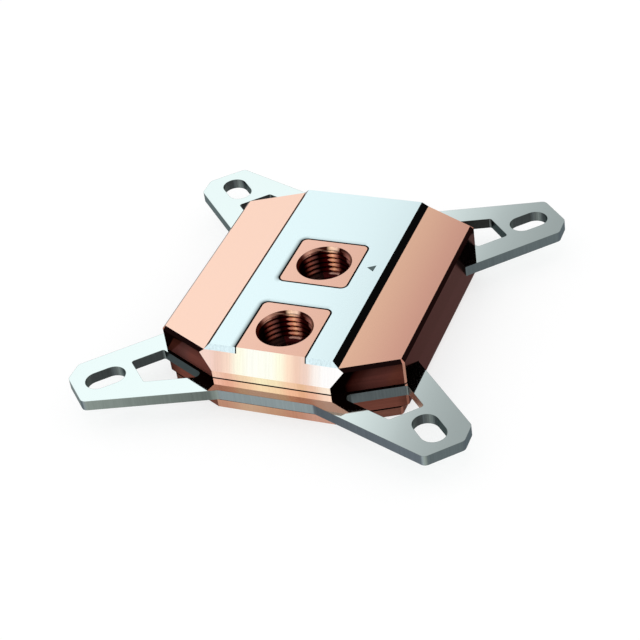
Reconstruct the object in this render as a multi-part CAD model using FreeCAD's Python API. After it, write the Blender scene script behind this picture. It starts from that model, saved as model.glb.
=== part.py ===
"""Liquid-cooling block for a processor, built as the pieces that come apart on a bench.

Lengths are in millimetres. The block stands on its contact face at Z = 0, +Z points out of the
port mouths, the steel strip runs along Y and the outlet port is at the -Y end.
"""
import math
import os

import FreeCAD
import Part

V = FreeCAD.Vector

# Mounting holes of the circuit board: the slots take every square between these two sides.
hole_square_min = 75.0
hole_square_max = 80.0
slot_width = 6.0

# Bracket plate
bracket_t = 2.6
bracket_front_lip = 3.9
bracket_front_half = 11.4
arm_rise = 20.0
arm_side_metal = 8.5
arm_end_metal = 2.8
shoulder_y = 17.85
waist_half = 26.6
arm_corner_r = 1.5
window_front_bar = 5.3
window_side_bar = 5.8
window_slot_web = 2.3
window_corner_r = 0.65
window_point_r = 1.2

# Outline of the copper block
body_half_x = 29.3
body_half_y = 33.3
facet_start_x = 14.25
facet_angle = 26.0
corner_break = 0.4
bracket_step = 0.65

# Heights of the layers
cold_plate_t = 2.1
lower_body_t = 3.8
wing_height = 6.5
strip_t = 1.4

# Bevels and edge breaks
end_facet_angle = 21.5
end_wall_h = 1.95
wing_bevel = 0.8
foot_break = 0.2
joint_break = 0.4

# Steel strip and the copper lands that rise through it
strip_half_x = 14.75
land_half = 8.2
land_gap = 0.3
land_corner_r = 1.3
opening_break = 0.15

# Ports
port_major_r = 6.58
port_depth = 7.0
port_spacing = 25.0
outlet_inset = 11.05
passage_r = 4.0

# Cold plate and its fins
cold_plate_half_x = 27.9
fin_t = 0.4
fin_gap = 0.4
fin_count = 33
fin_length = 30.0
fin_height = 2.4

# Water ways in the lower body
gallery_side = 2.0
gallery_front = 3.3
gallery_back = 1.3
outlet_way_half = 7.0
outlet_way_wall = 0.75
way_corner_r = 3.0
inlet_chamber_half_x = 4.0
inlet_chamber_half_y = 11.0
inlet_chamber_h = 1.5

# Neck of the lower body, which passes through the bracket
neck_half_x = 12.5
neck_end_wall = 0.85
neck_corner_r = 4.0
neck_gap = 0.2

# Jet plate
jet_t = 0.8
jet_half_x = 13.0
jet_half_y = 12.0
jet_slot_w = 1.2
jet_slot_l = 20.0
jet_gap = 0.1

# Seals
base_seal_w = 2.0
base_seal_h = 1.5
base_seal_wall = 1.1
base_seal_corner_r = 5.0
port_seal_w = 1.4
port_seal_h = 1.1
port_seal_wall = 0.6
seal_side_gap = 0.1

# Countersunk screws, driven from the contact face
screw_r = 1.5
screw_length = 12.0
screw_head_r = 2.95
screw_recess = 0.05
screw_seal_wall = 1.6
screw_end_inset = 11.3
screw_hole_gap = 0.2
screw_seat_gap = 0.03
tapped_extra = 1.0
socket_flats = 2.0
socket_depth = 1.1

# Levels that follow from the sizes above
z_joint = cold_plate_t
z_plate_low = z_joint + lower_body_t
z_foot = z_plate_low + bracket_t
z_wing = z_foot + wing_height
z_top = z_wing + strip_t
z_fin_top = z_joint + fin_height
z_jet_top = z_fin_top + jet_t
z_chamber = z_jet_top + inlet_chamber_h

# Places that follow from the sizes above
outlet_y = outlet_inset - body_half_y
inlet_y = outlet_y + port_spacing
bracket_front_y = body_half_y + bracket_front_lip
strip_half_y = body_half_y - (z_top - z_foot - end_wall_h) * math.tan(math.radians(end_facet_angle))
slot_centre = (hole_square_min + hole_square_max) / 4
slot_travel = (hole_square_max - hole_square_min) / math.sqrt(2)
arm_side_reach = slot_centre + arm_side_metal
fin_pitch = fin_t + fin_gap
fin_half_x = fin_length / 2
fin_half_y = (fin_count * fin_pitch - fin_gap) / 2
facet_slope = math.tan(math.radians(facet_angle))
hall_x = fin_half_x + gallery_side
hall_front = -fin_half_y - gallery_front
hall_back = fin_half_y + gallery_back
way_front = outlet_y - passage_r - outlet_way_wall
base_groove_w = base_seal_w + 2 * seal_side_gap
base_seal_x = hall_x + base_seal_wall + base_groove_w / 2
base_seal_y0 = way_front - base_seal_wall - base_groove_w / 2
base_seal_y1 = hall_back + base_seal_wall + base_groove_w / 2
port_groove_w = port_seal_w + 2 * seal_side_gap
port_seal_r = passage_r + port_seal_wall + port_groove_w / 2
neck_half_y = port_seal_r + port_groove_w / 2 + neck_end_wall - outlet_y
screw_hole_r = screw_r + screw_hole_gap
screw_x = base_seal_x + base_groove_w / 2 + screw_seal_wall + screw_hole_r
screw_y = body_half_y - screw_end_inset
screw_places = [(x, y) for x in (-screw_x, screw_x) for y in (-screw_y, screw_y)]


def prism(points, z0, z1):
    """Straight-sided solid on a closed outline."""
    corners = [V(x, y, z0) for x, y in points]
    wire = Part.makePolygon(corners + corners[:1])
    return Part.Face(wire).extrude(V(0, 0, z1 - z0))


def four_ways(quarter):
    """Closed outline from the points of the +X +Y quarter, listed from the Y axis to the X axis."""
    back = [(x, -y) for x, y in reversed(quarter)]
    half = quarter + back
    return half + [(-x, y) for x, y in reversed(half)]


def rod(x, y, radius, z0, z1):
    """Upright cylinder."""
    return Part.makeCylinder(radius, z1 - z0, V(x, y, z0))


def round_upright(solid, radius, wanted=lambda x, y: True):
    """Fillet the vertical edges that the test picks by their place."""
    edges = []
    for edge in solid.Edges:
        low, high = edge.BoundBox.ZMin, edge.BoundBox.ZMax
        middle = edge.BoundBox.Center
        narrow = edge.BoundBox.XLength < 1e-6 and edge.BoundBox.YLength < 1e-6
        if high - low > 1e-6 and narrow and wanted(middle.x, middle.y):
            edges.append(edge)
    return solid.makeFillet(radius, edges)


def rounded_block(x0, x1, y0, y1, z0, z1, radius):
    """Box with rounded upright corners."""
    box = Part.makeBox(x1 - x0, y1 - y0, z1 - z0, V(x0, y0, z0))
    return round_upright(box, radius)


def block_outline(half_x):
    """Plan of the copper block: every layer shares the ends and the slanted corner facets."""
    side_y = body_half_y - (half_x - facet_start_x) * facet_slope
    turn = math.radians(facet_angle)
    return four_ways([
        (facet_start_x, body_half_y),
        (half_x - corner_break * math.cos(turn), side_y + corner_break * math.sin(turn)),
        (half_x, side_y - corner_break),
    ])


def edges_at(solid, z, wanted=lambda x, y: True):
    """Edges that lie flat at one height."""
    picked = []
    for edge in solid.Edges:
        box = edge.BoundBox
        if abs(box.ZMin - z) < 1e-6 and abs(box.ZMax - z) < 1e-6 and wanted(box.Center.x, box.Center.y):
            picked.append(edge)
    return picked


def cut_ends(solid):
    """Mill the two leaning end facets, which run from the strip down into the copper."""
    reach = 2 * body_half_y
    lean = math.tan(math.radians(end_facet_angle))
    z_high = z_top + 1
    z_low = z_foot - 1
    profile = [
        V(-reach, strip_half_y + (z_top - z_high) * lean, z_high),
        V(-reach, strip_half_y + (z_top - z_low) * lean, z_low),
        V(-reach, reach, z_low),
        V(-reach, reach, z_high),
    ]
    wedge = Part.Face(Part.makePolygon(profile + profile[:1])).extrude(V(2 * reach, 0, 0))
    return solid.cut(wedge).cut(wedge.mirror(V(0, 0, 0), V(0, 1, 0)))


def land(y, half, radius, z0, z1, to_front):
    """Square pad round a port; the outlet's pad runs out through the end of the strip."""
    y_low = -2 * body_half_y if to_front else y - half
    return rounded_block(-half, half, y_low, y + half, z0, z1, radius)


def bracket_blank(grow):
    """Outer form of the bracket plate, grown sideways by a clearance."""
    rise = math.tan(math.radians(arm_rise))
    end_sum = 2 * slot_centre + math.sqrt(2) * (slot_travel / 2 + slot_width / 2 + arm_end_metal)
    shoulder = body_half_x - shoulder_y
    tip_x = (end_sum - bracket_front_y + bracket_front_half * rise) / (1 + rise)
    quarter = [
        (bracket_front_half, bracket_front_y),
        (tip_x, end_sum - tip_x),
        (arm_side_reach, end_sum - arm_side_reach),
        (arm_side_reach, arm_side_reach - shoulder),
        (waist_half, waist_half - shoulder),
    ]
    face = Part.Face(Part.makePolygon([V(x, y, z_plate_low) for x, y in four_ways(quarter) + [quarter[0]]]))
    if grow:
        face = face.makeOffset2D(grow, join=2)
    return face.extrude(V(0, 0, bracket_t))


def arm_window(sx, sy, z0, z1):
    """Opening in one arm, a bar's width inside its edges and clear of the copper block."""
    rise = math.tan(math.radians(arm_rise))
    front_drop = window_front_bar / math.cos(math.radians(arm_rise))
    front_c = bracket_front_y - bracket_front_half * rise - front_drop
    side_c = body_half_x - shoulder_y - window_side_bar * math.sqrt(2)
    end_sum = 2 * slot_centre - math.sqrt(2) * (slot_travel / 2 + slot_width / 2 + window_slot_web)
    inner_c = body_half_y + facet_start_x * facet_slope + bracket_step / math.cos(math.radians(facet_angle))
    inner_x = (inner_c - front_c) / (rise + facet_slope)
    front_x = (end_sum - front_c) / (1 + rise)
    side_x = (inner_c + side_c) / (1 + facet_slope)
    corners = [
        (inner_x, front_c + rise * inner_x),
        (front_x, end_sum - front_x),
        ((end_sum + side_c) / 2, (end_sum - side_c) / 2),
        (side_x, side_x - side_c),
    ]
    hole = prism([(sx * x, sy * y) for x, y in corners], z0, z1)
    hole = round_upright(hole, window_point_r, lambda x, y: abs(x) < inner_x + 1e-6)
    return round_upright(hole, window_corner_r, lambda x, y: abs(x) > front_x - 1e-6 or abs(y) < abs(x))


def arm_slot(sx, sy, z0, z1):
    """Slot along the diagonal of one arm."""
    half = slot_travel / 2
    middle = Part.makeBox(slot_travel, slot_width, z1 - z0, V(-half, -slot_width / 2, z0))
    slot = middle.fuse([rod(-half, 0, slot_width / 2, z0, z1), rod(half, 0, slot_width / 2, z0, z1)])
    slot.rotate(V(0, 0, 0), V(0, 0, 1), 45 * sx * sy)
    slot.translate(V(sx * slot_centre, sy * slot_centre, 0))
    return slot


def seal_track(half_x, y0, y1, corner_r, width, z0, z1):
    """Flat ring that follows a rounded rectangle, centred on it."""
    h = width / 2
    outer = rounded_block(-half_x - h, half_x + h, y0 - h, y1 + h, z0, z1, corner_r + h)
    inner = rounded_block(-half_x + h, half_x - h, y0 + h, y1 - h, z0 - 1, z1 + 1, corner_r - h)
    return outer.cut(inner)


def seal_ring(y, radius, width, z0, z1):
    """Flat round ring about a water passage."""
    return rod(0, y, radius + width / 2, z0, z1).cut(rod(0, y, radius - width / 2, z0 - 1, z1 + 1))


def screw(x, y):
    """Countersunk screw with a hexagon socket, head down."""
    z0 = screw_recess
    cone = screw_head_r - screw_r
    profile = [
        V(0, 0, z0),
        V(screw_head_r, 0, z0),
        V(screw_r, 0, z0 + cone),
        V(screw_r, 0, screw_length),
        V(0, 0, screw_length),
    ]
    body = Part.Face(Part.makePolygon(profile + profile[:1])).revolve(V(0, 0, 0), V(0, 0, 1), 360)
    corner = socket_flats / math.sqrt(3)
    hexagon = [(corner * math.cos(math.radians(a)), corner * math.sin(math.radians(a))) for a in range(0, 360, 60)]
    body = body.cut(prism(hexagon, z0 - 1, z0 + socket_depth))
    body.translate(V(x, y, 0))
    return body


def countersink(x, y):
    """Seat for a screw head in the contact face, with its clearance hole."""
    wide = screw_head_r + screw_recess + screw_seat_gap * math.sqrt(2)
    cone = Part.makeCone(wide, screw_hole_r, wide - screw_hole_r, V(x, y, 0))
    return cone.fuse(rod(x, y, screw_hole_r, 0, z_joint + 1))


# Cold plate: contact face below, fins above.
cold_plate = prism(block_outline(cold_plate_half_x), 0, z_joint)
fins = []
for n in range(fin_count):
    y = -fin_half_y + n * fin_pitch
    fins.append(Part.makeBox(fin_length, fin_t, fin_height, V(-fin_half_x, y, z_joint)))
cold_plate = cold_plate.fuse(fins)
cold_plate = cold_plate.cut([countersink(x, y) for x, y in screw_places])

# Lower body: a slab under the bracket, with a neck through it and a lip along each side.
slab = prism(block_outline(body_half_x), z_joint, z_plate_low)
slab = slab.makeChamfer(joint_break, edges_at(slab, z_joint))
lips = prism(block_outline(body_half_x), z_plate_low, z_foot).cut(bracket_blank(neck_gap))
neck = rounded_block(-neck_half_x, neck_half_x, -neck_half_y, neck_half_y, z_plate_low, z_foot, neck_corner_r)
lower_body = slab.fuse([lips, neck])

# Its water ways: the fin hall, the way to the outlet, the jet plate's seat and the inlet chamber.
hall = rounded_block(-hall_x, hall_x, hall_front, hall_back, z_joint - 1, z_fin_top, way_corner_r)
way = rounded_block(-outlet_way_half, outlet_way_half, way_front, -fin_half_y, z_joint - 1, z_fin_top, way_corner_r)
seat_x = jet_half_x + jet_gap
seat_y = jet_half_y + jet_gap
jet_seat = Part.makeBox(2 * seat_x, 2 * seat_y, jet_t + 1, V(-seat_x, -seat_y, z_fin_top - 1))
chamber = rounded_block(-inlet_chamber_half_x, inlet_chamber_half_x, -inlet_chamber_half_y,
                        inlet_chamber_half_y, z_jet_top - 0.5, z_chamber, 3.0)
inlet_way = rod(0, inlet_y, passage_r, z_chamber - 0.5, z_foot + 1)
outlet_way = rod(0, outlet_y, passage_r, z_fin_top - 0.5, z_foot + 1)
lower_body = lower_body.cut([hall, way, jet_seat, chamber, inlet_way, outlet_way])

# Its seal grooves and screw holes.
base_groove = seal_track(base_seal_x, base_seal_y0, base_seal_y1, base_seal_corner_r, base_groove_w,
                         z_joint - 1, z_joint + base_seal_h)
port_grooves = [seal_ring(y, port_seal_r, port_groove_w, z_foot - port_seal_h, z_foot + 1)
                for y in (inlet_y, outlet_y)]
through_holes = [rod(x, y, screw_hole_r, z_joint - 1, z_foot + 1) for x, y in screw_places]
lower_body = lower_body.cut([base_groove] + port_grooves + through_holes)

# Mounting bracket: one flat plate with a slotted arm at each corner.
bracket = round_upright(bracket_blank(0), arm_corner_r)
z_under, z_over = z_plate_low - 1, z_foot + 1
corners = [(sx, sy) for sx in (-1, 1) for sy in (-1, 1)]
hole_x = neck_half_x + neck_gap
hole_y = neck_half_y + neck_gap
openings = [rounded_block(-hole_x, hole_x, -hole_y, hole_y, z_under, z_over, neck_corner_r + neck_gap)]
openings += [arm_window(sx, sy, z_under, z_over) for sx, sy in corners]
openings += [arm_slot(sx, sy, z_under, z_over) for sx, sy in corners]
openings += [rod(x, y, screw_hole_r, z_under, z_over) for x, y in screw_places]
bracket = bracket.cut(openings)

# Top body: wings, leaning ends, and two lands that stand up through the strip.
top_body = prism(block_outline(body_half_x), z_foot, z_wing)
top_body = top_body.fuse([
    land(inlet_y, land_half, land_corner_r, z_wing, z_top, False),
    land(outlet_y, land_half, land_corner_r, z_wing, z_top, True),
])
top_body = cut_ends(top_body)
strip_foot_x = strip_half_x + strip_t
top_body = top_body.makeChamfer(wing_bevel, edges_at(top_body, z_wing, lambda x, y: abs(x) > strip_foot_x))
top_body = top_body.makeChamfer(foot_break, edges_at(top_body, z_foot, lambda x, y: abs(x) < body_half_x - 1e-6))
bores = []
for y in (inlet_y, outlet_y):
    bores.append(rod(0, y, port_major_r, z_top - port_depth, z_top + 1))
    bores.append(rod(0, y, passage_r, z_foot - 1, z_top))
tapped_depth = screw_length - z_foot + tapped_extra
bores += [rod(x, y, screw_r + screw_seat_gap, z_foot - 1, z_foot + tapped_depth) for x, y in screw_places]
top_body = top_body.cut(bores)

# Cover strip: a steel plate with bevelled sides that lies on the top body round the lands.
profile = [
    V(-strip_foot_x, -body_half_y, z_wing),
    V(strip_foot_x, -body_half_y, z_wing),
    V(strip_half_x, -body_half_y, z_top),
    V(-strip_half_x, -body_half_y, z_top),
]
strip = Part.Face(Part.makePolygon(profile + profile[:1])).extrude(V(0, 2 * body_half_y, 0))
strip = cut_ends(strip)
pad_half = land_half + land_gap
pad_r = land_corner_r + land_gap
strip = strip.cut([
    land(inlet_y, pad_half, pad_r, z_wing - 1, z_top + 1, False),
    land(outlet_y, pad_half, pad_r, z_wing - 1, z_top + 1, True),
])

strip = strip.makeChamfer(opening_break, edges_at(
    strip, z_top, lambda x, y: abs(x) < pad_half + 1e-6 and y < strip_half_y - 1e-6))

# Jet plate: thin steel, pressed on the fins, with one slot across them.
jet_plate = Part.makeBox(2 * jet_half_x, 2 * jet_half_y, jet_t, V(-jet_half_x, -jet_half_y, z_fin_top))
jet_plate = jet_plate.cut(rounded_block(-jet_slot_w / 2, jet_slot_w / 2, -jet_slot_l / 2, jet_slot_l / 2,
                                        z_fin_top - 1, z_jet_top + 1, jet_slot_w * 0.49))

# Seals, pressed flat in their grooves.
base_seal = seal_track(base_seal_x, base_seal_y0, base_seal_y1, base_seal_corner_r, base_seal_w,
                       z_joint, z_joint + base_seal_h)
inlet_seal = seal_ring(inlet_y, port_seal_r, port_seal_w, z_foot - port_seal_h, z_foot)
outlet_seal = seal_ring(outlet_y, port_seal_r, port_seal_w, z_foot - port_seal_h, z_foot)

nodes = {
    "cold_plate": cold_plate,
    "lower_body": lower_body,
    "mounting_bracket": bracket,
    "top_body": top_body,
    "cover_strip": strip,
    "jet_plate": jet_plate,
    "base_seal": base_seal,
    "inlet_seal": inlet_seal,
    "outlet_seal": outlet_seal,
    "body_screws": Part.makeCompound([screw(x, y) for x, y in screw_places]),
}

os.makedirs("parts", exist_ok=True)
for name, shape in nodes.items():
    print(name, len(shape.Solids), shape.isValid(), round(shape.Volume, 1))
    shape.exportStep("parts/" + name + ".step")
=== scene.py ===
"""Looks of a liquid-cooling block for a processor, on the frame of its solids."""
import math

import bmesh
import bpy
from mathutils import Matrix, Vector


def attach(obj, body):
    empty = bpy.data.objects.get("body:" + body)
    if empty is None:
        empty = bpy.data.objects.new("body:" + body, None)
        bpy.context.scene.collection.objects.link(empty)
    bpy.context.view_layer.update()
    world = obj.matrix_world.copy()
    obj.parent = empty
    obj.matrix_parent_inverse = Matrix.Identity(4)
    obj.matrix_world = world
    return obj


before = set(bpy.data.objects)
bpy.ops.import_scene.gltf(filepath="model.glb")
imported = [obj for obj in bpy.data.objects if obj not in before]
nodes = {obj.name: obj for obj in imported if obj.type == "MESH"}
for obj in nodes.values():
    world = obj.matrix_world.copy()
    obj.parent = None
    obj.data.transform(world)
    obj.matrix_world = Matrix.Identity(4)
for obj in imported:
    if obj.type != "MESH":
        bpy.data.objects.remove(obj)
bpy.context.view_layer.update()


# The cold plate is the lowest layer: bare copper, its contact face lapped flat, its sides milled bright, with
# fins on the inside. Its sides, corners and bevels are painted dark for the dark they mirror, and its front
# end carries painted bands of light.

def new_material(name):
    """An empty material with its principled shader."""
    material = bpy.data.materials.new(name)
    material.use_nodes = True
    return material, material.node_tree, material.node_tree.nodes["Principled BSDF"]


def node(tree, kind, **settings):
    """A shader node with its settings."""
    made = tree.nodes.new(kind)
    for key, value in settings.items():
        setattr(made, key, value)
    return made


def link(tree, source, target):
    """A wire from one socket to another."""
    tree.links.new(source, target)


def calc(tree, operation, a, b=None, c=None, clamp=False):
    """One math node; each operand is a number or a socket."""
    made = node(tree, "ShaderNodeMath", operation=operation, use_clamp=clamp)
    for slot, value in enumerate((a, b, c)):
        if value is None:
            continue
        if isinstance(value, (int, float)):
            made.inputs[slot].default_value = value
        else:
            link(tree, value, made.inputs[slot])
    return made.outputs[0]


def between(tree, value, low, high):
    """1 where the value lies between two limits."""
    above = calc(tree, "GREATER_THAN", value, low)
    below = calc(tree, "LESS_THAN", value, high)
    return calc(tree, "MULTIPLY", above, below)


def tint(tree, mask, under, over):
    """Colour `over` where the mask is 1, `under` where it is 0."""
    made = node(tree, "ShaderNodeMix", data_type="RGBA")
    link(tree, mask, made.inputs["Factor"])
    for slot, value in (("A", under), ("B", over)):
        socket = [s for s in made.inputs if s.name == slot and s.type == "RGBA"][0]
        if isinstance(value, tuple):
            socket.default_value = (*value, 1.0)
        else:
            link(tree, value, socket)
    return [s for s in made.outputs if s.type == "RGBA"][0]


def scaled(tree, colour, amount):
    """The colour, lightened or darkened by an amount."""
    made = node(tree, "ShaderNodeVectorMath", operation="SCALE")
    if isinstance(colour, tuple):
        made.inputs[0].default_value = colour
    else:
        link(tree, colour, made.inputs[0])
    link(tree, amount, made.inputs["Scale"])
    return made.outputs[0]


def product(tree, first, second):
    """Two colours multiplied; the first may be a plain colour."""
    made = node(tree, "ShaderNodeVectorMath", operation="MULTIPLY")
    if isinstance(first, tuple):
        made.inputs[0].default_value = first
    else:
        link(tree, first, made.inputs[0])
    link(tree, second, made.inputs[1])
    return made.outputs[0]


def blend(tree, mask, under, over):
    """Number `over` where the mask is 1, `under` where it is 0."""
    made = node(tree, "ShaderNodeMix", data_type="FLOAT")
    link(tree, mask, made.inputs["Factor"])
    made.inputs["A"].default_value = under
    made.inputs["B"].default_value = over
    return made.outputs["Result"]


def ramp(tree, factor, stops, eased=False):
    """Colour ramp through (place, colour or grey) stops."""
    made = node(tree, "ShaderNodeValToRGB")
    made.color_ramp.interpolation = "EASE" if eased else "LINEAR"
    elements = made.color_ramp.elements
    while len(elements) < len(stops):
        elements.new(0.5)
    for element, (place, colour) in zip(elements, stops):
        element.position = place
        grey = isinstance(colour, (int, float))
        element.color = (colour, colour, colour, 1.0) if grey else (*colour, 1.0)
    link(tree, factor, made.inputs["Fac"])
    return made.outputs["Color"]


def make_face_group():
    """Masks by the way a face looks: bevels, leaning ends, upright ends, sides and corners."""
    tree = bpy.data.node_groups.new("face_kinds", "ShaderNodeTree")
    for name in ("bevel", "lean", "wall", "under", "end", "side", "corner", "edge_break"):
        tree.interface.new_socket(name, in_out="OUTPUT", socket_type="NodeSocketFloat")
    geometry = node(tree, "ShaderNodeNewGeometry")
    parts = node(tree, "ShaderNodeSeparateXYZ")
    link(tree, geometry.outputs["True Normal"], parts.inputs[0])
    out = node(tree, "NodeGroupOutput")
    up = parts.outputs["Z"]
    across = calc(tree, "ABSOLUTE", parts.outputs["X"])
    wall = between(tree, up, -0.2, 0.2)
    bevel = between(tree, up, 0.5, 0.9)
    below = between(tree, up, -0.9, -0.5)
    upright_side = calc(tree, "MULTIPLY", wall, calc(tree, "GREATER_THAN", across, 0.95))
    side_below = calc(tree, "MULTIPLY", below, calc(tree, "GREATER_THAN", across, 0.6))
    made = {
        "bevel": bevel,
        "lean": between(tree, up, 0.2, 0.5),
        "wall": wall,
        "under": calc(tree, "MULTIPLY", below, calc(tree, "LESS_THAN", across, 0.6)),
        "end": calc(tree, "MULTIPLY", wall, calc(tree, "LESS_THAN", across, 0.1)),
        "side": calc(tree, "MAXIMUM", upright_side, side_below),
        "corner": calc(tree, "MULTIPLY", wall, between(tree, across, 0.3, 0.6)),
        "edge_break": calc(tree, "MAXIMUM", calc(tree, "MULTIPLY", wall, between(tree, across, 0.8, 0.9)),
                           calc(tree, "MULTIPLY", bevel, between(tree, across, 0.55, 0.65))),
    }
    for name, socket in made.items():
        link(tree, socket, out.inputs[name])
    return tree


def make_streak_group():
    """Fine parallel cutter lines: grey noise 0..1, drawn out along one direction."""
    tree = bpy.data.node_groups.new("cutter_lines", "ShaderNodeTree")
    stretch = tree.interface.new_socket("stretch", in_out="INPUT", socket_type="NodeSocketVector")
    stretch.default_value = (1, 1, 1)
    tree.interface.new_socket("value", in_out="OUTPUT", socket_type="NodeSocketFloat")
    inside = node(tree, "NodeGroupInput")
    out = node(tree, "NodeGroupOutput")
    place = node(tree, "ShaderNodeTexCoord")
    stretched = node(tree, "ShaderNodeVectorMath", operation="MULTIPLY")
    link(tree, place.outputs["Object"], stretched.inputs[0])
    link(tree, inside.outputs["stretch"], stretched.inputs[1])
    noise = node(tree, "ShaderNodeTexNoise")
    noise.inputs["Scale"].default_value = 1.0
    noise.inputs["Detail"].default_value = 4.0
    noise.inputs["Roughness"].default_value = 0.7
    link(tree, stretched.outputs[0], noise.inputs["Vector"])
    link(tree, noise.outputs["Fac"], out.inputs["value"])
    return tree


face_kinds = make_face_group()
cutter_lines = make_streak_group()


def faces(tree):
    """The face masks by name."""
    return node(tree, "ShaderNodeGroup", node_tree=face_kinds).outputs


def streaks(tree, stretch):
    """The cutter lines; they run along the axis whose number is small."""
    made = node(tree, "ShaderNodeGroup", node_tree=cutter_lines)
    made.inputs["stretch"].default_value = stretch
    return made.outputs["value"]


def place_of(tree):
    """Object coordinates, split."""
    coordinates = node(tree, "ShaderNodeTexCoord")
    parts = node(tree, "ShaderNodeSeparateXYZ")
    link(tree, coordinates.outputs["Object"], parts.inputs[0])
    return parts.outputs


def vary(tree, colour, grey, low, high):
    """The colour, lightened and darkened by a 0..1 value."""
    amount = node(tree, "ShaderNodeMapRange")
    amount.inputs["From Min"].default_value = 0.3
    amount.inputs["From Max"].default_value = 0.7
    amount.inputs["To Min"].default_value = low
    amount.inputs["To Max"].default_value = high
    link(tree, grey, amount.inputs["Value"])
    return scaled(tree, colour, amount.outputs["Result"])


def across_block(tree, x, width):
    """0 at the left and 1 at the right of a band this wide, centred on the block."""
    return calc(tree, "MULTIPLY_ADD", x, 1 / width, 0.5)


copper_flat = (0.93, 0.60, 0.47)
# Near-black painted on copper bevels, undersides and upright walls for the dark they mirror.
copper_painted_dark = (0.008, 0.003, 0.003)
# Painted light that the corner faces take where the bracket mirrors them.
corner_light_in_mirror = (1.7, 1.6, 1.4)
block_width = 0.0586
end_width = 0.032
corner_span = 0.060
bracket_top = 0.0087
lean_start = 0.0106
lean_per_height = -0.55
step_slope, step_height, step_softness = 1.111, 0.0392, 0.0004
steep_hem, steep_hem_height = 1.54, 0.0532
flat_hem, flat_hem_height = 0.19, 0.0186185
hem_softness = 0.0003
left_corner_end = -0.014


def corner_painted_light(tree, x, z):
    """Painted light on the corner faces: little beside the ends, most in the middle of each face."""
    low = ramp(tree, across_block(tree, x, corner_span), [
        (0.02, 0.3), (0.045, 0.6), (0.08, 1.0), (0.25, 1.0), (0.5, 0.7), (0.55, 0.01), (0.775, 0.01),
        (0.81, 1.0), (0.95, 1.0), (0.985, 0.6)])

    # Above the bracket the painted shade leans with the height, turns darker past a leaning step and darkens
    # toward the wing.
    climb = calc(tree, "MAXIMUM", calc(tree, "SUBTRACT", z, lean_start), 0.0)
    leaning_x = calc(tree, "MULTIPLY_ADD", climb, lean_per_height, x)
    high = ramp(tree, across_block(tree, leaning_x, corner_span), [
        (0.078, (0.74, 0.85, 0.95)), (0.09, (0.78, 0.98, 1.15)), (0.108, (0.86, 1.18, 1.3)),
        (0.125, (1.0, 1.3, 1.5)), (0.15, (1.24, 1.42, 1.45)), (0.25, (1.27, 1.45, 1.5)), (0.5, 0.7),
        (0.55, 0.01), (0.787, 0.01), (0.798, (0.17, 0.10, 0.10)), (0.813, (0.31, 0.26, 0.25)),
        (0.828, (0.39, 0.35, 0.35)), (0.843, (0.54, 0.57, 0.60)), (0.863, (0.70, 0.76, 0.80)),
        (0.917, (0.84, 0.89, 0.93)), (0.942, (0.96, 1.0, 0.88)), (0.97, (0.92, 0.87, 0.78))])
    past_step = calc(tree, "SUBTRACT", z, calc(tree, "MULTIPLY_ADD", x, step_slope, step_height))
    past_step = calc(tree, "MULTIPLY", past_step, 1 / step_softness, clamp=True)
    high = tint(tree, past_step, high, (0.42, 0.38, 0.33))
    toward_wing = ramp(tree, calc(tree, "MULTIPLY_ADD", z, 1 / 0.008, -1.0), [
        (0.1375, 0.82), (0.2875, 1.0), (0.475, 1.0), (0.575, 0.86), (0.70, 0.64), (0.825, 0.45)])
    corner_light = tint(tree, calc(tree, "GREATER_THAN", z, bracket_top), low, product(tree, high, toward_wing))

    # The left corner is painted black, for the dark it mirrors, above a hem that falls toward its outer edge.
    hem = calc(tree, "MINIMUM", calc(tree, "MULTIPLY_ADD", x, steep_hem, steep_hem_height),
               calc(tree, "MULTIPLY_ADD", x, flat_hem, flat_hem_height))
    below_hem = calc(tree, "MULTIPLY", calc(tree, "SUBTRACT", hem, z), 1 / hem_softness, clamp=True)
    below_hem = calc(tree, "MAXIMUM", below_hem, calc(tree, "GREATER_THAN", x, left_corner_end))
    return tint(tree, below_hem, (0.02, 0.02, 0.02), corner_light)


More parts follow.
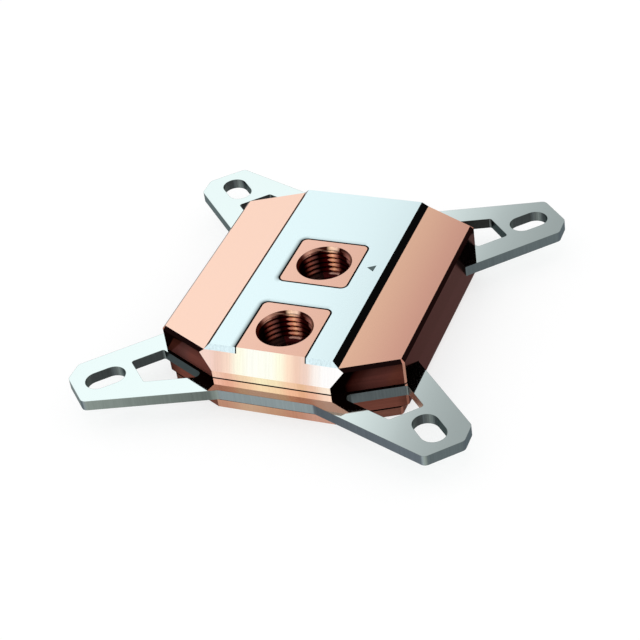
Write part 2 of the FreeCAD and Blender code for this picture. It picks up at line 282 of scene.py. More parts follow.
def copper(name, flat_colour, end_colour, side_painted_dark, corner_painted_tone, break_painted_light, mirrored_corner_light):
    """Milled copper: bright flats and ends; its dark sides and corners and its near-black bevels are painted
    reflection.
    """
    material, tree, shader = new_material(name)
    kinds = faces(tree)
    x, y, z = place_of(tree)
    level_lines = streaks(tree, (60, 60, 1800))
    upright_lines = streaks(tree, (2600, 2600, 40))
    if isinstance(flat_colour, list):
        flat_colour = ramp(tree, across_block(tree, x, block_width), flat_colour, eased=True)
    if isinstance(end_colour, list):
        end_colour = ramp(tree, across_block(tree, x, end_width), end_colour, eased=True)
    # Where a mirror shows them, the corner faces take other painted light in place of their painted shade.
    mirrored = node(tree, "ShaderNodeLightPath").outputs["Is Glossy Ray"]
    corner_light = tint(tree, mirrored, corner_painted_light(tree, x, z), mirrored_corner_light)
    # The corner faces: a painted maroon tone times the painted corner light, with cutter lines.
    corner = product(tree, corner_painted_tone, corner_light)
    # Bevels, undersides and upright walls are painted near-black as dark reflection.
    colour = tint(tree, kinds["bevel"], flat_colour, copper_painted_dark)
    colour = tint(tree, kinds["under"], colour, copper_painted_dark)
    colour = tint(tree, kinds["wall"], colour, copper_painted_dark)
    # The ends, with cutter lines, take a painted darker and redder tone where a mirror shows them.
    end = product(tree, vary(tree, end_colour, upright_lines, 0.94, 1.05),
                  tint(tree, mirrored, (1.0, 1.0, 1.0), (0.96, 0.82, 0.78)))
    colour = tint(tree, kinds["end"], colour, end)
    # The sides are painted dark for the dark they mirror, with a faint grain of cutter lines.
    colour = tint(tree, kinds["side"], colour, vary(tree, side_painted_dark, level_lines, 0.92, 1.08))
    colour = tint(tree, kinds["corner"], colour, vary(tree, corner, level_lines, 0.86, 1.14))
    # Edge breaks take painted light: a pink highlight line on the body, a dark painted tone on the plate and
    # slab.
    colour = tint(tree, kinds["edge_break"], colour, break_painted_light)
    link(tree, colour, shader.inputs["Base Color"])
    shader.inputs["Metallic"].default_value = 1.0
    link(tree, blend(tree, kinds["corner"], 0.14, 0.75), shader.inputs["Roughness"])
    shader.inputs["Specular Tint"].default_value = (0.6, 0.5, 0.48, 1.0)
    return material, tree, shader


# Painted light across the plate's front end: lighter and darker bands from left to right.
plate_end = [(0.10, (0.58, 0.30, 0.20)), (0.30, (0.65, 0.42, 0.28)), (0.50, (0.60, 0.34, 0.21)),
             (0.64, (0.58, 0.28, 0.18)), (0.80, (0.64, 0.35, 0.26))]
plate_copper = copper("lapped_copper", copper_flat, plate_end, side_painted_dark=(0.10, 0.042, 0.032),
                      corner_painted_tone=(0.24, 0.10, 0.072), break_painted_light=(0.26, 0.11, 0.08),
                      mirrored_corner_light=corner_light_in_mirror)[0]
nodes["cold_plate"].material_slots[0].material = plate_copper


# The lower body is the copper slab under the bracket. It shows as a pink band below the plate's
# front edge and through the windows of the arms.

# The slab's sides, corners and edge breaks are painted dark for the dark they mirror.
slab_copper = copper("slab_copper", copper_flat, (0.78, 0.42, 0.29), side_painted_dark=(0.026, 0.007, 0.0115),
                     corner_painted_tone=(0.24, 0.085, 0.060), break_painted_light=(0.24, 0.095, 0.065),
                     mirrored_corner_light=corner_light_in_mirror)[0]
nodes["lower_body"].material_slots[0].material = slab_copper


# The bracket is one flat stainless plate, polished like a mirror on top and cut by a beam, which leaves fine
# upright lines on its edges. The grey of its edges and the dark of its window and slot walls are painted
# reflection, set by the way each face turns.

def make_rim_group():
    """Mask of the thin band beside every sharp edge, where the edge break catches other light."""
    tree = bpy.data.node_groups.new("edge_band", "ShaderNodeTree")
    tree.interface.new_socket("width", in_out="INPUT", socket_type="NodeSocketFloat")
    tree.interface.new_socket("mask", in_out="OUTPUT", socket_type="NodeSocketFloat")
    inside = node(tree, "NodeGroupInput")
    out = node(tree, "NodeGroupOutput")
    rounded = node(tree, "ShaderNodeBevel", samples=8)
    link(tree, inside.outputs["width"], rounded.inputs["Radius"])
    geometry = node(tree, "ShaderNodeNewGeometry")
    alike = node(tree, "ShaderNodeVectorMath", operation="DOT_PRODUCT")
    link(tree, rounded.outputs["Normal"], alike.inputs[0])
    link(tree, geometry.outputs["True Normal"], alike.inputs[1])
    turned = node(tree, "ShaderNodeMapRange")
    turned.inputs["From Min"].default_value = 0.999
    turned.inputs["From Max"].default_value = 0.97
    link(tree, alike.outputs["Value"], turned.inputs["Value"])
    link(tree, turned.outputs["Result"], out.inputs["mask"])
    return tree


edge_band = make_rim_group()


def rim(tree, width):
    """The band beside sharp edges, this wide."""
    made = node(tree, "ShaderNodeGroup", node_tree=edge_band)
    made.inputs["width"].default_value = width
    return made.outputs["mask"]


arm_slope = math.tan(math.radians(20))
front_y, front_half_x = 0.0372, 0.0114
waist_shift = 0.01145
arm_end_sum = 0.0882
bracket_half_x = 0.04725
bracket_span = 0.096
least_room = 0.002
rim_shade_width = 0.00016
copper_reflection_from, copper_reflection_width = 0.029, 0.006


def inside_outline(tree, x, y):
    """1 on the walls of windows and slots, 0 on the outer edge of the plate."""
    u = calc(tree, "ABSOLUTE", x)
    v = calc(tree, "ABSOLUTE", y)
    front = calc(tree, "MULTIPLY_ADD", u, arm_slope, front_y - front_half_x * arm_slope)
    front_room = calc(tree, "SUBTRACT", front, v)
    waist_room = calc(tree, "ADD", calc(tree, "SUBTRACT", v, u), waist_shift)
    end_room = calc(tree, "SUBTRACT", arm_end_sum, calc(tree, "ADD", u, v))
    room = calc(tree, "MINIMUM", calc(tree, "MINIMUM", front_room, waist_room), end_room)
    room = calc(tree, "MINIMUM", room, calc(tree, "SUBTRACT", bracket_half_x, u))
    return calc(tree, "GREATER_THAN", room, least_room)


def bracket_steel():
    """Bright flat top with a thin rim of painted shade, outer edges in painted grey reflection, painted dark
    walls in windows and slots.
    """
    material, tree, shader = new_material("bracket_steel")
    kinds = faces(tree)
    x, y, z = place_of(tree)
    upright = streaks(tree, (2400, 2400, 60))
    geometry = node(tree, "ShaderNodeNewGeometry")
    facing = node(tree, "ShaderNodeSeparateXYZ")
    link(tree, geometry.outputs["True Normal"], facing.inputs[0])
    toward_right = facing.outputs["X"]
    facing_place = calc(tree, "MULTIPLY_ADD", toward_right, 0.5, 0.5)
    # Painted reflection on the outer edges: grey to dark by the way each face turns.
    edge = ramp(tree, facing_place, [
        (0.0, (0.10, 0.13, 0.135)), (0.16, (0.11, 0.14, 0.145)), (0.33, (0.125, 0.147, 0.168)),
        (0.5, (0.26, 0.31, 0.32)), (0.67, (0.25, 0.295, 0.27)), (0.84, (0.10, 0.124, 0.128)),
        (1.0, (0.085, 0.10, 0.115))])
    # Painted light along the plate changes the brightness of its edges from left to right.
    along = ramp(tree, across_block(tree, x, bracket_span), [
        (0.04, 1.05), (0.36, 0.52), (0.379, 1.0), (0.619, 1.0), (0.632, 0.8), (0.96, 1.15)])
    edge = vary(tree, product(tree, edge, along), upright, 0.90, 1.12)
    # Painted shade on the walls of windows and slots, by the way each wall turns.
    wall = ramp(tree, facing_place, [
        (0.0, (0.045, 0.055, 0.055)), (0.146, (0.042, 0.052, 0.053)), (0.30, (0.060, 0.070, 0.073)),
        (0.38, (0.115, 0.138, 0.138)), (0.5, (0.20, 0.235, 0.225)), (0.60, (0.13, 0.15, 0.147)),
        (0.66, (0.10, 0.115, 0.112)), (0.72, (0.10, 0.118, 0.122)), (0.80, (0.050, 0.058, 0.058)),
        (0.92, (0.048, 0.055, 0.055)), (1.0, (0.08, 0.09, 0.085))])
    wall = vary(tree, wall, upright, 0.88, 1.12)

    # Painted shade makes the window at the back right darkest. One wall of the front right window carries a
    # painted reflection of the copper.
    back_wall = calc(tree, "MULTIPLY", between(tree, x, 0.02, 0.0355), calc(tree, "GREATER_THAN", y, 0.02))
    back_wall = calc(tree, "MULTIPLY", back_wall, between(tree, toward_right, 0.30, 0.40))
    wall = tint(tree, back_wall, wall, (0.027, 0.028, 0.026))
    near_block = calc(tree, "MULTIPLY", between(tree, x, 0.0275, 0.0356),
                      between(tree, y, -0.0335, -0.0265))
    painted_copper_reflection = calc(tree, "MULTIPLY", near_block, calc(tree, "LESS_THAN", toward_right, -0.6))
    along_wall = calc(tree, "MULTIPLY_ADD", x, 1 / copper_reflection_width, -copper_reflection_from / copper_reflection_width)
    mirrored_copper = ramp(tree, along_wall, [
        (0.0, (0.85, 0.80, 0.78)), (0.4, (0.82, 0.62, 0.50)), (0.75, (0.72, 0.48, 0.38)),
        (1.0, (0.48, 0.30, 0.22))])
    wall = tint(tree, painted_copper_reflection, wall, mirrored_copper)
    # A thin rim of painted grey shade along the top's sharp edges.
    flat = tint(tree, rim(tree, rim_shade_width), (0.85, 0.975, 0.965), (0.40, 0.47, 0.46))
    colour = tint(tree, kinds["wall"], flat, tint(tree, inside_outline(tree, x, y), edge, wall))
    link(tree, colour, shader.inputs["Base Color"])
    link(tree, blend(tree, kinds["wall"], 0.05, 0.32), shader.inputs["Roughness"])
    shader.inputs["Metallic"].default_value = 1.0
    shader.inputs["Specular Tint"].default_value = (0.5, 0.55, 0.55, 1.0)
    return material


nodes["mounting_bracket"].material_slots[0].material = bracket_steel()


# The top body is milled from copper: satin wings under a painted light gradient, leaning ends with cross-cut
# lines under a painted highlight, and two lands that stand up through the strip and hold the threaded ports.
# The bores carry painted reflections.

inlet_y, outlet_y = 0.00275, -0.02225
inlet_edge, outlet_edge = 0.477, 0.464
mouth_level = 0.01635
port_reach = 0.0067
bore_rough = 0.7
thread_pitch = 0.001337
ridge_middle_r = 0.0063
ridge_level, ridge_turn = 0.0154, 0.47
tooth_depth, tooth_softness = 0.024, 0.010
highlight_stripe_end = 0.531
highlight_stripe_split = 0.4705
floor_level = 0.0094
last_turn_level = 0.00835
first_turn_level = 0.0145
rim_level = 0.0153
left_rim_lift = 0.00028
lead_in_slope, lead_in_level, lead_in_half = 0.01575, 0.02237, 0.0003


def soft_step(tree, value, start, width):
    """0 up to the start, then rising to 1 over the width."""
    return calc(tree, "MULTIPLY_ADD", value, 1 / width, -start / width, clamp=True)


def make_bore_group():
    """Painted reflections down a threaded port: a painted highlight stripe with teeth at the back, painted
    brown highlight streaks, painted dark red shade between.
    """
    tree = bpy.data.node_groups.new("bore_painted_light", "ShaderNodeTree")
    for name in ("port_y", "edge"):
        tree.interface.new_socket(name, in_out="INPUT", socket_type="NodeSocketFloat")
    tree.interface.new_socket("colour", in_out="OUTPUT", socket_type="NodeSocketColor")
    given = node(tree, "NodeGroupInput").outputs
    out = node(tree, "NodeGroupOutput")

    # The turn is 0 and 1 at the front of the bore and 0.5 at its back. The level is the height,
    # moved to the middle of the ridge's depth. The 10 keeps the rise above zero.
    x, y, z = place_of(tree)
    away = calc(tree, "SUBTRACT", y, given["port_y"])
    turn = calc(tree, "MULTIPLY_ADD", calc(tree, "ARCTAN2", x, away), 1 / (2 * math.pi), 0.5)
    radius = calc(tree, "SQRT", calc(tree, "MULTIPLY_ADD", away, away, calc(tree, "MULTIPLY", x, x)))
    level = calc(tree, "MULTIPLY_ADD", calc(tree, "SUBTRACT", radius, ridge_middle_r), 0.76, z)
    rise = calc(tree, "MULTIPLY_ADD", level, 1 / thread_pitch, turn)
    rise = calc(tree, "FRACT", calc(tree, "SUBTRACT", rise, ridge_level / thread_pitch + ridge_turn - 10))
    ridge = ramp(tree, rise, [(0.0, 1.0), (0.44, 0.0), (1.0, 1.0)], eased=True)
    on_floor = soft_step(tree, level, floor_level, -0.0001)

    # Painted shade: dark red walls, with painted brown highlight streaks on the ridges at the left.
    field = ramp(tree, turn, [
        (0.0, (0.05, 0.014, 0.008)), (0.20, (0.01, 0.002, 0.001)), (0.285, (0.001, 0.0, 0.0)),
        (0.31, (0.02, 0.001, 0.001)), (0.34, (0.11, 0.012, 0.004)), (0.37, (0.03, 0.002, 0.002)),
        (0.395, (0.004, 0.0, 0.0)), (0.42, (0.012, 0.0, 0.0)), (0.445, (0.038, 0.001, 0.001)),
        (0.53, (0.045, 0.006, 0.005)), (0.545, (0.016, 0.001, 0.001))])
    # The bore's floor is painted near-black as shade, dark red at the back.
    floor = tint(tree, between(tree, turn, 0.41, 0.54), (0.01, 0.0, 0.0), (0.06, 0.001, 0.002))
    streak_highlight = ramp(tree, turn, [
        (0.295, 0.0), (0.31, (0.02, 0.004, 0.003)), (0.335, (0.14, 0.055, 0.04)),
        (0.365, (0.15, 0.062, 0.047)), (0.388, (0.06, 0.021, 0.018)), (0.402, 0.0)])
    streaked = node(tree, "ShaderNodeVectorMath", operation="MULTIPLY_ADD")
    link(tree, streak_highlight, streaked.inputs[0])
    strength = calc(tree, "MULTIPLY_ADD", on_floor, -0.7, 1.0)
    link(tree, calc(tree, "MULTIPLY", ridge, strength), streaked.inputs[1])
    link(tree, tint(tree, on_floor, field, floor), streaked.inputs[2])

    # The painted highlight stripe: painted lit ridges and shaded valleys, a paler painted highlight on the
    # first turn, teeth along its left edge.
    lit = ramp(tree, turn, [
        (0.44, (0.42, 0.15, 0.10)), (0.47, (0.66, 0.29, 0.185)), (0.486, (0.90, 0.47, 0.285)),
        (0.501, (0.64, 0.30, 0.205)), (0.515, (0.26, 0.085, 0.06)), (0.525, (0.09, 0.015, 0.01))])
    shaded = ramp(tree, turn, [
        (0.46, (0.42, 0.03, 0.006)), (0.473, (0.62, 0.09, 0.02)), (0.486, (1.0, 0.35, 0.14)),
        (0.50, (0.74, 0.20, 0.10)), (0.515, (0.56, 0.19, 0.12)), (0.525, (0.30, 0.07, 0.05))])
    pale_highlight = ramp(tree, turn, [
        (0.44, (0.54, 0.28, 0.17)), (0.47, (0.76, 0.43, 0.26)), (0.487, (0.96, 0.58, 0.37)),
        (0.502, (0.74, 0.42, 0.29)), (0.515, (0.44, 0.21, 0.145)), (0.528, (0.20, 0.08, 0.055))])
    lit = tint(tree, on_floor, lit, (1.0, 0.55, 0.43))
    shaded = tint(tree, on_floor, shaded, (0.14, 0.014, 0.005))
    first_turn = soft_step(tree, level, first_turn_level, 0.0005)
    bright = tint(tree, first_turn, tint(tree, ridge, shaded, lit), pale_highlight)
    teeth = calc(tree, "MULTIPLY_ADD", ridge, tooth_depth, calc(tree, "SUBTRACT", turn, given["edge"]))
    teeth = calc(tree, "MULTIPLY_ADD", teeth, 1 / tooth_softness, 0.4, clamp=True)
    highlight_stripe = calc(tree, "MULTIPLY", teeth, soft_step(tree, turn, highlight_stripe_end, -0.008))
    highlight_stripe = calc(tree, "MULTIPLY", soft_step(tree, level, last_turn_level, 0.0002), highlight_stripe)
    walls = tint(tree, highlight_stripe, streaked.outputs[0], bright)

    # A painted pink reflection in the shape of a crescent lies under the rim at the right, and fades out
    # below.
    crescent_reflection = ramp(tree, turn, [
        (0.545, (0.05, 0.012, 0.008)), (0.58, (0.15, 0.046, 0.034)), (0.62, (0.44, 0.18, 0.145)),
        (0.66, (0.60, 0.28, 0.20)), (0.75, (0.50, 0.24, 0.18)), (0.90, (0.05, 0.014, 0.01))])
    fading = calc(tree, "MAXIMUM", 0.3, soft_step(tree, level, 0.01645, -0.001))
    beyond = soft_step(tree, calc(tree, "MULTIPLY_ADD", level, 19.0, turn), 0.848, 0.016)
    beyond = calc(tree, "MULTIPLY", beyond, calc(tree, "GREATER_THAN", turn, 0.54))
    walls = tint(tree, beyond, walls, scaled(tree, crescent_reflection, fading))

    # Painted light on the rim above the first turn: a pale highlight at the back, a brown one at the left,
    # painted shade between.
    left_edge = calc(tree, "SUBTRACT", calc(tree, "SUBTRACT", turn, given["edge"]), -highlight_stripe_split)
    right_edge = calc(tree, "MULTIPLY_ADD", given["edge"], 0.6,
                      calc(tree, "SUBTRACT", turn, outlet_edge * 0.6))
    moved_turn = calc(tree, "MINIMUM", left_edge, calc(tree, "MAXIMUM", right_edge, highlight_stripe_split))
    mouth = ramp(tree, moved_turn, [
        (0.0, (0.10, 0.03, 0.02)), (0.27, (0.03, 0.005, 0.003)), (0.29, (0.11, 0.035, 0.024)),
        (0.31, (0.36, 0.165, 0.12)), (0.34, (0.55, 0.28, 0.20)), (0.37, (0.33, 0.155, 0.11)),
        (0.415, (0.04, 0.009, 0.006)), (0.450, (0.035, 0.007, 0.004)), (0.467, (0.80, 0.52, 0.34)),
        (0.477, (1.0, 0.67, 0.48)), (0.512, (0.88, 0.60, 0.46)), (0.528, (0.42, 0.23, 0.17)),
        (0.536, (0.05, 0.012, 0.008)), (0.55, (0.02, 0.003, 0.002))])
    at_rim = calc(tree, "MULTIPLY_ADD", calc(tree, "LESS_THAN", turn, 0.355), left_rim_lift, level)
    at_rim = soft_step(tree, at_rim, rim_level, 0.0003)
    at_rim = calc(tree, "MULTIPLY", at_rim, calc(tree, "LESS_THAN", turn, 0.54))
    whole = tint(tree, at_rim, walls, mouth)

    # One thin painted highlight line runs down the rim to the first ridge.
    lead_in = calc(tree, "MULTIPLY_ADD", turn, lead_in_slope, level)
    lead_in = calc(tree, "ABSOLUTE", calc(tree, "SUBTRACT", lead_in, lead_in_level))
    lead_in = calc(tree, "MULTIPLY_ADD", lead_in, -1 / lead_in_half, 1.0, clamp=True)
    lead_in = calc(tree, "MULTIPLY", lead_in, between(tree, turn, 0.375, 0.462))
    link(tree, tint(tree, lead_in, whole, (0.29, 0.145, 0.10)), out.inputs["colour"])
    return tree


bore_painted_light = make_bore_group()


def bore_painted_reflections(tree, port_y):
    """The bore's painted reflections at one port; the painted highlight stripe starts further left in the
    outlet.
    """
    made = node(tree, "ShaderNodeGroup", node_tree=bore_painted_light)
    made.inputs["port_y"].default_value = port_y
    made.inputs["edge"].default_value = inlet_edge if port_y == inlet_y else outlet_edge
    return made.outputs["colour"]


def body_copper():
    """The body's copper, with a painted highlight over the cross-cut lines of its leaning ends and painted
    reflections in the bores.
    """
    material, tree, shader = copper(
        "body_copper",
        # Wings with a painted light gradient: lighter at the left, darker toward the right.
        [(0.0, (0.995, 0.698, 0.566)), (0.22, (0.995, 0.698, 0.566)), (0.38, (0.883, 0.555, 0.436)),
         (0.55, (0.835, 0.508, 0.40)), (0.78, (0.845, 0.51, 0.363)), (1.0, (0.853, 0.458, 0.351))],
        # End walls with a painted highlight, palest in the middle and at the right end.
        [(0.09, (0.91, 0.59, 0.475)), (0.16, (0.85, 0.51, 0.39)), (0.30, (0.93, 0.70, 0.49)),
         (0.43, (0.975, 0.87, 0.59)), (0.53, (0.955, 0.80, 0.54)), (0.65, (0.935, 0.62, 0.43)),
         (0.73, (0.83, 0.52, 0.335)), (0.80, (0.86, 0.56, 0.42)), (0.91, (1.0, 0.84, 0.71))],
        # Sides painted near-black and corners a painted maroon for the dark they mirror; edge breaks carry a
        # painted pink highlight.
        side_painted_dark=(0.018, 0.004, 0.008),
        corner_painted_tone=(0.19, 0.056, 0.043),
        break_painted_light=(0.50, 0.22, 0.16),
        mirrored_corner_light=(0.03, 0.03, 0.03))
    kinds = faces(tree)
    x, y, z = place_of(tree)
    base = shader.inputs["Base Color"].links[0].from_socket
    rough = shader.inputs["Roughness"].links[0].from_socket
    upright = streaks(tree, (2600, 60, 60))
    # A painted highlight across the leaning ends, cream-white in the middle, with the cross-cut lines over
    # it.
    painted_highlight = ramp(tree, across_block(tree, x, end_width), [
        (0.03, (0.91, 0.66, 0.58)), (0.10, (0.87, 0.60, 0.50)), (0.17, (0.94, 0.70, 0.57)),
        (0.26, (1.0, 0.98, 0.80)), (0.36, (1.0, 1.0, 0.91)), (0.50, (1.0, 1.0, 0.88)),
        (0.57, (1.0, 0.97, 0.76)), (0.64, (0.99, 0.75, 0.575)), (0.70, (0.88, 0.61, 0.48)),
        (0.76, (0.88, 0.65, 0.55)), (0.84, (0.97, 0.90, 0.85)), (0.90, (1.0, 0.985, 0.975))],
        eased=True)
    base = tint(tree, kinds["lean"], base, vary(tree, painted_highlight, upright, 0.95, 1.04))
    reach = calc(tree, "MULTIPLY", x, x)
    floors = 0.0
    # Inside each bore the copper takes the bore's painted reflections.
    for port_y in (inlet_y, outlet_y):
        away = calc(tree, "SUBTRACT", y, port_y)
        near = calc(tree, "LESS_THAN", calc(tree, "MULTIPLY_ADD", away, away, reach), port_reach ** 2)
        near = calc(tree, "MULTIPLY", near, calc(tree, "LESS_THAN", z, mouth_level))
        base = tint(tree, near, base, bore_painted_reflections(tree, port_y))
        rough = calc(tree, "MAXIMUM", rough, calc(tree, "MULTIPLY", near, bore_rough))
        floor = calc(tree, "MULTIPLY", near, calc(tree, "LESS_THAN", z, floor_level + 0.0001))
        floors = calc(tree, "MAXIMUM", floor, floors)
    link(tree, rough, shader.inputs["Roughness"])
    link(tree, calc(tree, "SUBTRACT", 1.0, floors), shader.inputs["Metallic"])
    link(tree, base, shader.inputs["Base Color"])
    return material


nodes["top_body"].material_slots[0].material = body_copper()


# Each port is tapped with a fine pipe thread. The ridge is a helix that starts just under the mouth
# and runs down to the floor of the bore.

thread_top = 0.01612
thread_root_r = 0.00656
thread_crest_r = 0.00602
thread_turns = 4.6
thread_steps = 60
thread_start = math.radians(360) * (0.187 - 0.5)
ridge_profile = [(0.0, -0.01), (0.10, -0.11), (0.35, -0.23), (0.66, -0.35), (0.90, -0.46), (1.0, -0.55),
                 (0.93, -0.64), (0.66, -0.75), (0.3, -0.87), (0.0, -0.98)]
mouth_profile = [(0.00657, 0.01639), (0.00602, 0.01584), (0.00602, 0.01577), (0.00657, 0.01545)]


def finished_piece(name, mesh):
    """An object of the mesh, its faces turned outward, linked into the scene."""
    bmesh.ops.recalc_face_normals(mesh, faces=mesh.faces)
    data = bpy.data.meshes.new(name)
    mesh.to_mesh(data)
    mesh.free()
    piece = bpy.data.objects.new(name, data)
    bpy.context.scene.collection.objects.link(piece)
    return piece


def cut_thread(name, port_y):
    """A rounded ridge wound down the bore."""
    mesh = bmesh.new()
    ring = []
    for rise, drop in ridge_profile:
        radius = thread_root_r + (thread_crest_r - thread_root_r) * rise
        ring.append(mesh.verts.new((radius * math.sin(thread_start), port_y + radius * math.cos(thread_start),
                                    thread_top + drop * thread_pitch)))
    face = mesh.faces.new(ring)
    bmesh.ops.spin(mesh, geom=[face], cent=(0, port_y, 0), axis=(0, 0, -1),
                   dvec=(0, 0, -thread_pitch / thread_steps), angle=math.radians(360) * thread_turns,
                   steps=int(thread_steps * thread_turns), use_merge=False, use_duplicate=False)
    piece = finished_piece(name, mesh)
    for face in piece.data.polygons:
        face.use_smooth = True
    return piece


def cut_mouth(name, port_y):
    """The countersunk lead-in above the first turn."""
    mesh = bmesh.new()
    ring = [mesh.verts.new((radius, port_y, z)) for radius, z in mouth_profile]
    edges = [mesh.edges.new((ring[i], ring[(i + 1) % 4])) for i in range(4)]
    bmesh.ops.spin(mesh, geom=ring + edges, cent=(0, port_y, 0), axis=(0, 0, 1), dvec=(0, 0, 0),
                   angle=math.radians(360), steps=96, use_merge=True, use_duplicate=False)
    return finished_piece(name, mesh)


def thread_copper(name, port_y):
    """The bore's painted reflections with fine lines of the tap along the turns."""
    material, tree, shader = new_material(name)
    lines = streaks(tree, (500, 500, 2500))
    link(tree, vary(tree, bore_painted_reflections(tree, port_y), lines, 0.8, 1.2), shader.inputs["Base Color"])
    shader.inputs["Metallic"].default_value = 1.0
    shader.inputs["Roughness"].default_value = 0.4
    shader.inputs["Specular Tint"].default_value = (0.5, 0.25, 0.2, 1.0)
    return material


for name, port_y in (("inlet", inlet_y), ("outlet", outlet_y)):
    painted_thread = thread_copper(name + "_thread_copper", port_y)
    for piece in (cut_thread(name + "_thread", port_y), cut_mouth(name + "_mouth", port_y)):
        piece.data.materials.append(painted_thread)
        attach(piece, "root")


# The cover strip is a stainless plate with bevelled sides. Its top has a fine pale satin finish, its bevels
# are polished and painted near-black for the dark they mirror, and its ends show the cutter's lines.

opening_inner = 0.00705
opening_corner_r = 0.0016
shade_reach = 0.0012


def opening_shade(tree, x, y, centre, open_ahead):
    """Soft painted shade on the flat beside an opening, strongest on its left side."""
    away = calc(tree, "SUBTRACT", y, centre)
    if open_ahead:
        away = calc(tree, "MAXIMUM", away, 0.0)
    place = node(tree, "ShaderNodeCombineXYZ")
    link(tree, x, place.inputs["X"])
    link(tree, away, place.inputs["Y"])

    def vector(operation, first, second):
        made = node(tree, "ShaderNodeVectorMath", operation=operation)
        link(tree, first, made.inputs[0])
        if isinstance(second, tuple):
            made.inputs[1].default_value = second
        elif second is not None:
            link(tree, second, made.inputs[1])
        return made.outputs

    folded = vector("ABSOLUTE", place.outputs[0], None)[0]
    past = vector("SUBTRACT", folded, (opening_inner, opening_inner, 0.0))[0]
    past = vector("MAXIMUM", past, (0.0, 0.0, 0.0))[0]
    gap = calc(tree, "SUBTRACT", vector("LENGTH", past, None)["Value"], opening_corner_r)
    side = vector("SIGN", place.outputs[0], None)[0]
    outward = vector("NORMALIZE", vector("MULTIPLY", past, side)[0], None)[0]
    strength = calc(tree, "MAXIMUM", vector("DOT_PRODUCT", outward, (-1.0, 0.35, 0.0))["Value"], 0.0)
    shade = ramp(tree, calc(tree, "MULTIPLY", gap, 1 / shade_reach), [
        (0.0, 0.85), (0.25, 0.52), (0.5, 0.27), (0.75, 0.10), (1.0, 0.0)])
    return calc(tree, "SUBTRACT", 1.0, calc(tree, "MULTIPLY", shade, strength, clamp=True))


def strip_steel():
    """Pale satin flat with painted shade beside the openings, bevels and walls painted near-black as dark
    reflection, bright lined ends.
    """
    material, tree, shader = new_material("strip_steel")
    kinds = faces(tree)
    lines = streaks(tree, (1800, 1800, 60))
    x, y, z = place_of(tree)
    # The flat is darkened by painted shade beside both openings.
    painted_opening_shade = calc(tree, "MULTIPLY", opening_shade(tree, x, y, inlet_y, False),
                opening_shade(tree, x, y, outlet_y, True))
    # Bevels and upright walls are painted near-black for the dark they mirror.
    colour = tint(tree, kinds["bevel"], scaled(tree, (0.80, 0.972, 1.0), painted_opening_shade), (0.002, 0.002, 0.002))
    colour = tint(tree, kinds["wall"], colour, (0.01, 0.01, 0.01))
    colour = tint(tree, kinds["lean"], colour, vary(tree, (0.70, 0.86, 0.90), lines, 0.85, 1.15))
    link(tree, colour, shader.inputs["Base Color"])
    shader.inputs["Metallic"].default_value = 1.0
    shader.inputs["Roughness"].default_value = 0.14
    shader.inputs["Specular Tint"].default_value = (0.55, 0.55, 0.55, 1.0)
    return material


nodes["cover_strip"].material_slots[0].material = strip_steel()


# A small plain triangle is marked on the strip, dark grey, and points at the inlet port. It is a
# film two hundredths of a millimetre thick.

strip_top = 0.0164
mark_corners = [(0.01058, 0.00309), (0.01242, 0.00188), (0.01250, 0.00425)]
mark_thickness = 0.00002


def flow_mark():
    """The triangle as a film on the strip, with its own paint."""
    mesh = bmesh.new()
    ring = [mesh.verts.new((x, y, strip_top)) for x, y in mark_corners]
    face = mesh.faces.new(ring)
    grown = bmesh.ops.extrude_face_region(mesh, geom=[face])
    moved = [g for g in grown["geom"] if isinstance(g, bmesh.types.BMVert)]
    bmesh.ops.translate(mesh, verts=moved, vec=(0, 0, mark_thickness))
    piece = finished_piece("flow_mark", mesh)
    material, tree, shader = new_material("mark_grey")
    lines = streaks(tree, (3000, 3000, 60))
    link(tree, vary(tree, (0.050, 0.085, 0.088), lines, 0.85, 1.15), shader.inputs["Base Color"])
    shader.inputs["Roughness"].default_value = 0.6
    piece.data.materials.append(material)
    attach(piece, "root")


flow_mark()


# The jet plate is thin cut sheet, the seals are black rubber and the screws are plain turned steel,
# with their heads sunk in the contact face.

def plain_steel(name, colour, roughness):
    """Even steel with a faint grain."""
    material, tree, shader = new_material(name)
    lines = streaks(tree, (900, 900, 900))
    link(tree, vary(tree, colour, lines, 0.85, 1.1), shader.inputs["Base Color"])
    shader.inputs["Metallic"].default_value = 1.0
    shader.inputs["Roughness"].default_value = roughness
    return material


def seal_rubber():
    """Matt black rubber with a faint grain."""
    material, tree, shader = new_material("seal_rubber")
    grain = streaks(tree, (1500, 1500, 1500))
    link(tree, vary(tree, (0.03, 0.03, 0.03), grain, 0.8, 1.3), shader.inputs["Base Color"])
    shader.inputs["Roughness"].default_value = 0.7
    return material


rubber = seal_rubber()
nodes["jet_plate"].material_slots[0].material = plain_steel("jet_steel", (0.55, 0.57, 0.57), 0.35)
nodes["body_screws"].material_slots[0].material = plain_steel("screw_steel", (0.50, 0.51, 0.52), 0.3)
for name in ("base_seal", "inlet_seal", "outlet_seal"):
    nodes[name].material_slots[0].material = rubber


# A wide pale floor under a studio sky that is even but for a darker part at the right, with one
# large soft lamp overhead. What is mirrored twice sees three bright lobes in place of the sky.

floor_radius = 6.0
floor_glow = 0.69
sky_span, sky_shift = 60, 20


def pale_floor():
    """Pale matt ground that keeps the object's shadow."""
    mesh = bmesh.new()
    bmesh.ops.create_circle(mesh, cap_ends=True, radius=floor_radius, segments=96)
    data = bpy.data.meshes.new("floor")
    mesh.to_mesh(data)
    mesh.free()
    floor = bpy.data.objects.new("floor", data)
    bpy.context.scene.collection.objects.link(floor)
    material, tree, shader = new_material("floor_paint")
    shader.inputs["Base Color"].default_value = (0.32, 0.32, 0.32, 1)
    shader.inputs["Emission Color"].default_value = (1, 1, 1, 1)
    shader.inputs["Emission Strength"].default_value = floor_glow
    shader.inputs["Roughness"].default_value = 1.0
    shader.inputs["Specular IOR Level"].default_value = 0.0
    data.materials.append(material)


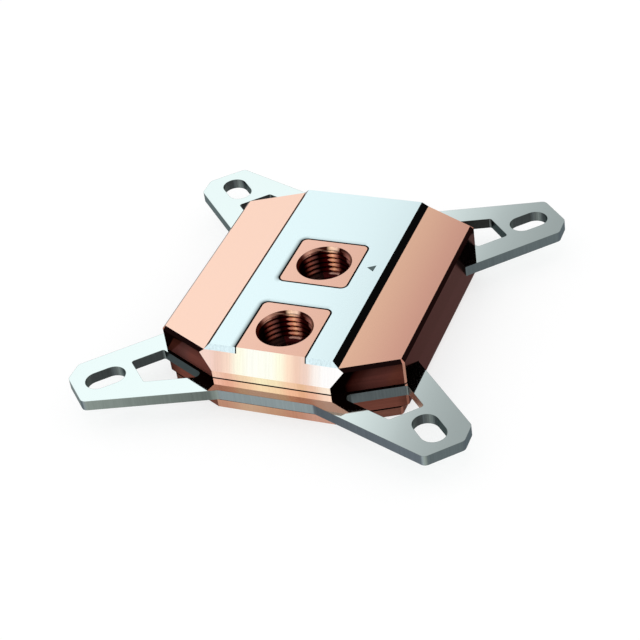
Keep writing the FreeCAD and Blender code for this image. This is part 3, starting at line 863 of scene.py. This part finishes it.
def studio_sky():
    """The sky by bearing and height, and the lobes that only second mirrorings see."""
    world = bpy.data.worlds.new("studio")
    bpy.context.scene.world = world
    world.use_nodes = True
    tree = world.node_tree
    background = tree.nodes["Background"]
    place = node(tree, "ShaderNodeTexCoord").outputs["Generated"]
    parts = node(tree, "ShaderNodeSeparateXYZ")
    link(tree, place, parts.inputs[0])
    bearing = calc(tree, "ARCTAN2", parts.outputs["X"], parts.outputs["Y"])
    height = calc(tree, "ARCSINE", parts.outputs["Z"])
    across = calc(tree, "MULTIPLY_ADD", height, 0.75, bearing)
    sky = ramp(tree, calc(tree, "MULTIPLY_ADD", across, math.degrees(1) / sky_span, sky_shift / sky_span), [
        (0.0, 1.0), (0.20, 1.02), (0.35, 1.02), (0.383, 0.97), (0.403, 0.885), (0.417, 0.78),
        (0.433, 0.675), (0.445, 0.615), (0.453, 0.525), (0.473, 0.445), (0.492, 0.39), (0.517, 0.37),
        (0.583, 0.5), (0.667, 1.0)])

    def lobe(way, stops):
        toward = node(tree, "ShaderNodeVectorMath", operation="DOT_PRODUCT")
        link(tree, place, toward.inputs[0])
        toward.inputs[1].default_value = way
        return ramp(tree, toward.outputs["Value"], stops)

    front = lobe((-0.30, -0.55, 0.78), [(0.81, 0.0), (0.875, (0.62, 0.32, 0.23)),
                                        (0.91, (0.70, 0.40, 0.30)), (0.95, (1.20, 1.04, 1.01))])
    right = lobe((0.79, 0.0, 0.61), [(0.90, 0.0), (0.95, 1.0)])
    behind = lobe((0.0, 0.80, 0.60), [(0.78, 0.0), (0.92, (1.0, 0.86, 0.80))])
    behind = scaled(tree, behind, calc(tree, "MULTIPLY_ADD", parts.outputs["X"], -10.0, 1.8, clamp=True))
    deep = front
    for other in (right, behind):
        added = node(tree, "ShaderNodeVectorMath", operation="ADD")
        link(tree, deep, added.inputs[0])
        link(tree, other, added.inputs[1])
        deep = added.outputs[0]
    path = node(tree, "ShaderNodeLightPath")
    twice = calc(tree, "GREATER_THAN", path.outputs["Glossy Depth"], 1.5)
    link(tree, tint(tree, twice, sky, deep), background.inputs["Color"])
    background.inputs["Strength"].default_value = 1.0


def soft_lamp(name, place, target, width, power):
    """A round lamp that mirrors don't show."""
    data = bpy.data.lights.new(name, "AREA")
    data.shape = "DISK"
    data.size = width
    data.energy = power
    lamp = bpy.data.objects.new(name, data)
    bpy.context.scene.collection.objects.link(lamp)
    lamp.location = place
    lamp.visible_glossy = False
    lamp.rotation_euler = (Vector(target) - Vector(place)).to_track_quat("-Z", "Y").to_euler()


pale_floor()
studio_sky()
soft_lamp("overhead_lamp", (-0.15, 0.1, 1.1), (0, 0, 0), 0.9, 0.8)


# The camera looks down on the front right corner, tipped a little, as in the photograph. Its place
# and lens were solved from the slots and the edges of the layers.

turn_z = math.radians(26.247)
drop = math.radians(37.222)
tip = math.radians(-8.838)
eye = (0.148782, -0.305752, 0.260267)
film_width = 36.0
focal_pixels, picture_pixels = 1801.976, 640
ahead = Vector((-math.sin(turn_z) * math.cos(drop), math.cos(turn_z) * math.cos(drop), -math.sin(drop)))
level_right = Vector((math.cos(turn_z), math.sin(turn_z), 0))
level_up = level_right.cross(ahead)
right = math.cos(tip) * level_right + math.sin(tip) * level_up
up = -math.sin(tip) * level_right + math.cos(tip) * level_up
lens = bpy.data.cameras.new("camera")
lens.sensor_fit = "HORIZONTAL"
lens.sensor_width = film_width
lens.lens = film_width * focal_pixels / picture_pixels
lens.clip_start = 0.01
camera = bpy.data.objects.new("camera", lens)
bpy.context.scene.collection.objects.link(camera)
camera.matrix_world = Matrix((
    (right.x, up.x, -ahead.x, eye[0]),
    (right.y, up.y, -ahead.y, eye[1]),
    (right.z, up.z, -ahead.z, eye[2]),
    (0, 0, 0, 1),
))
bpy.context.scene.camera = camera
bpy.context.scene.view_settings.view_transform = "Standard"
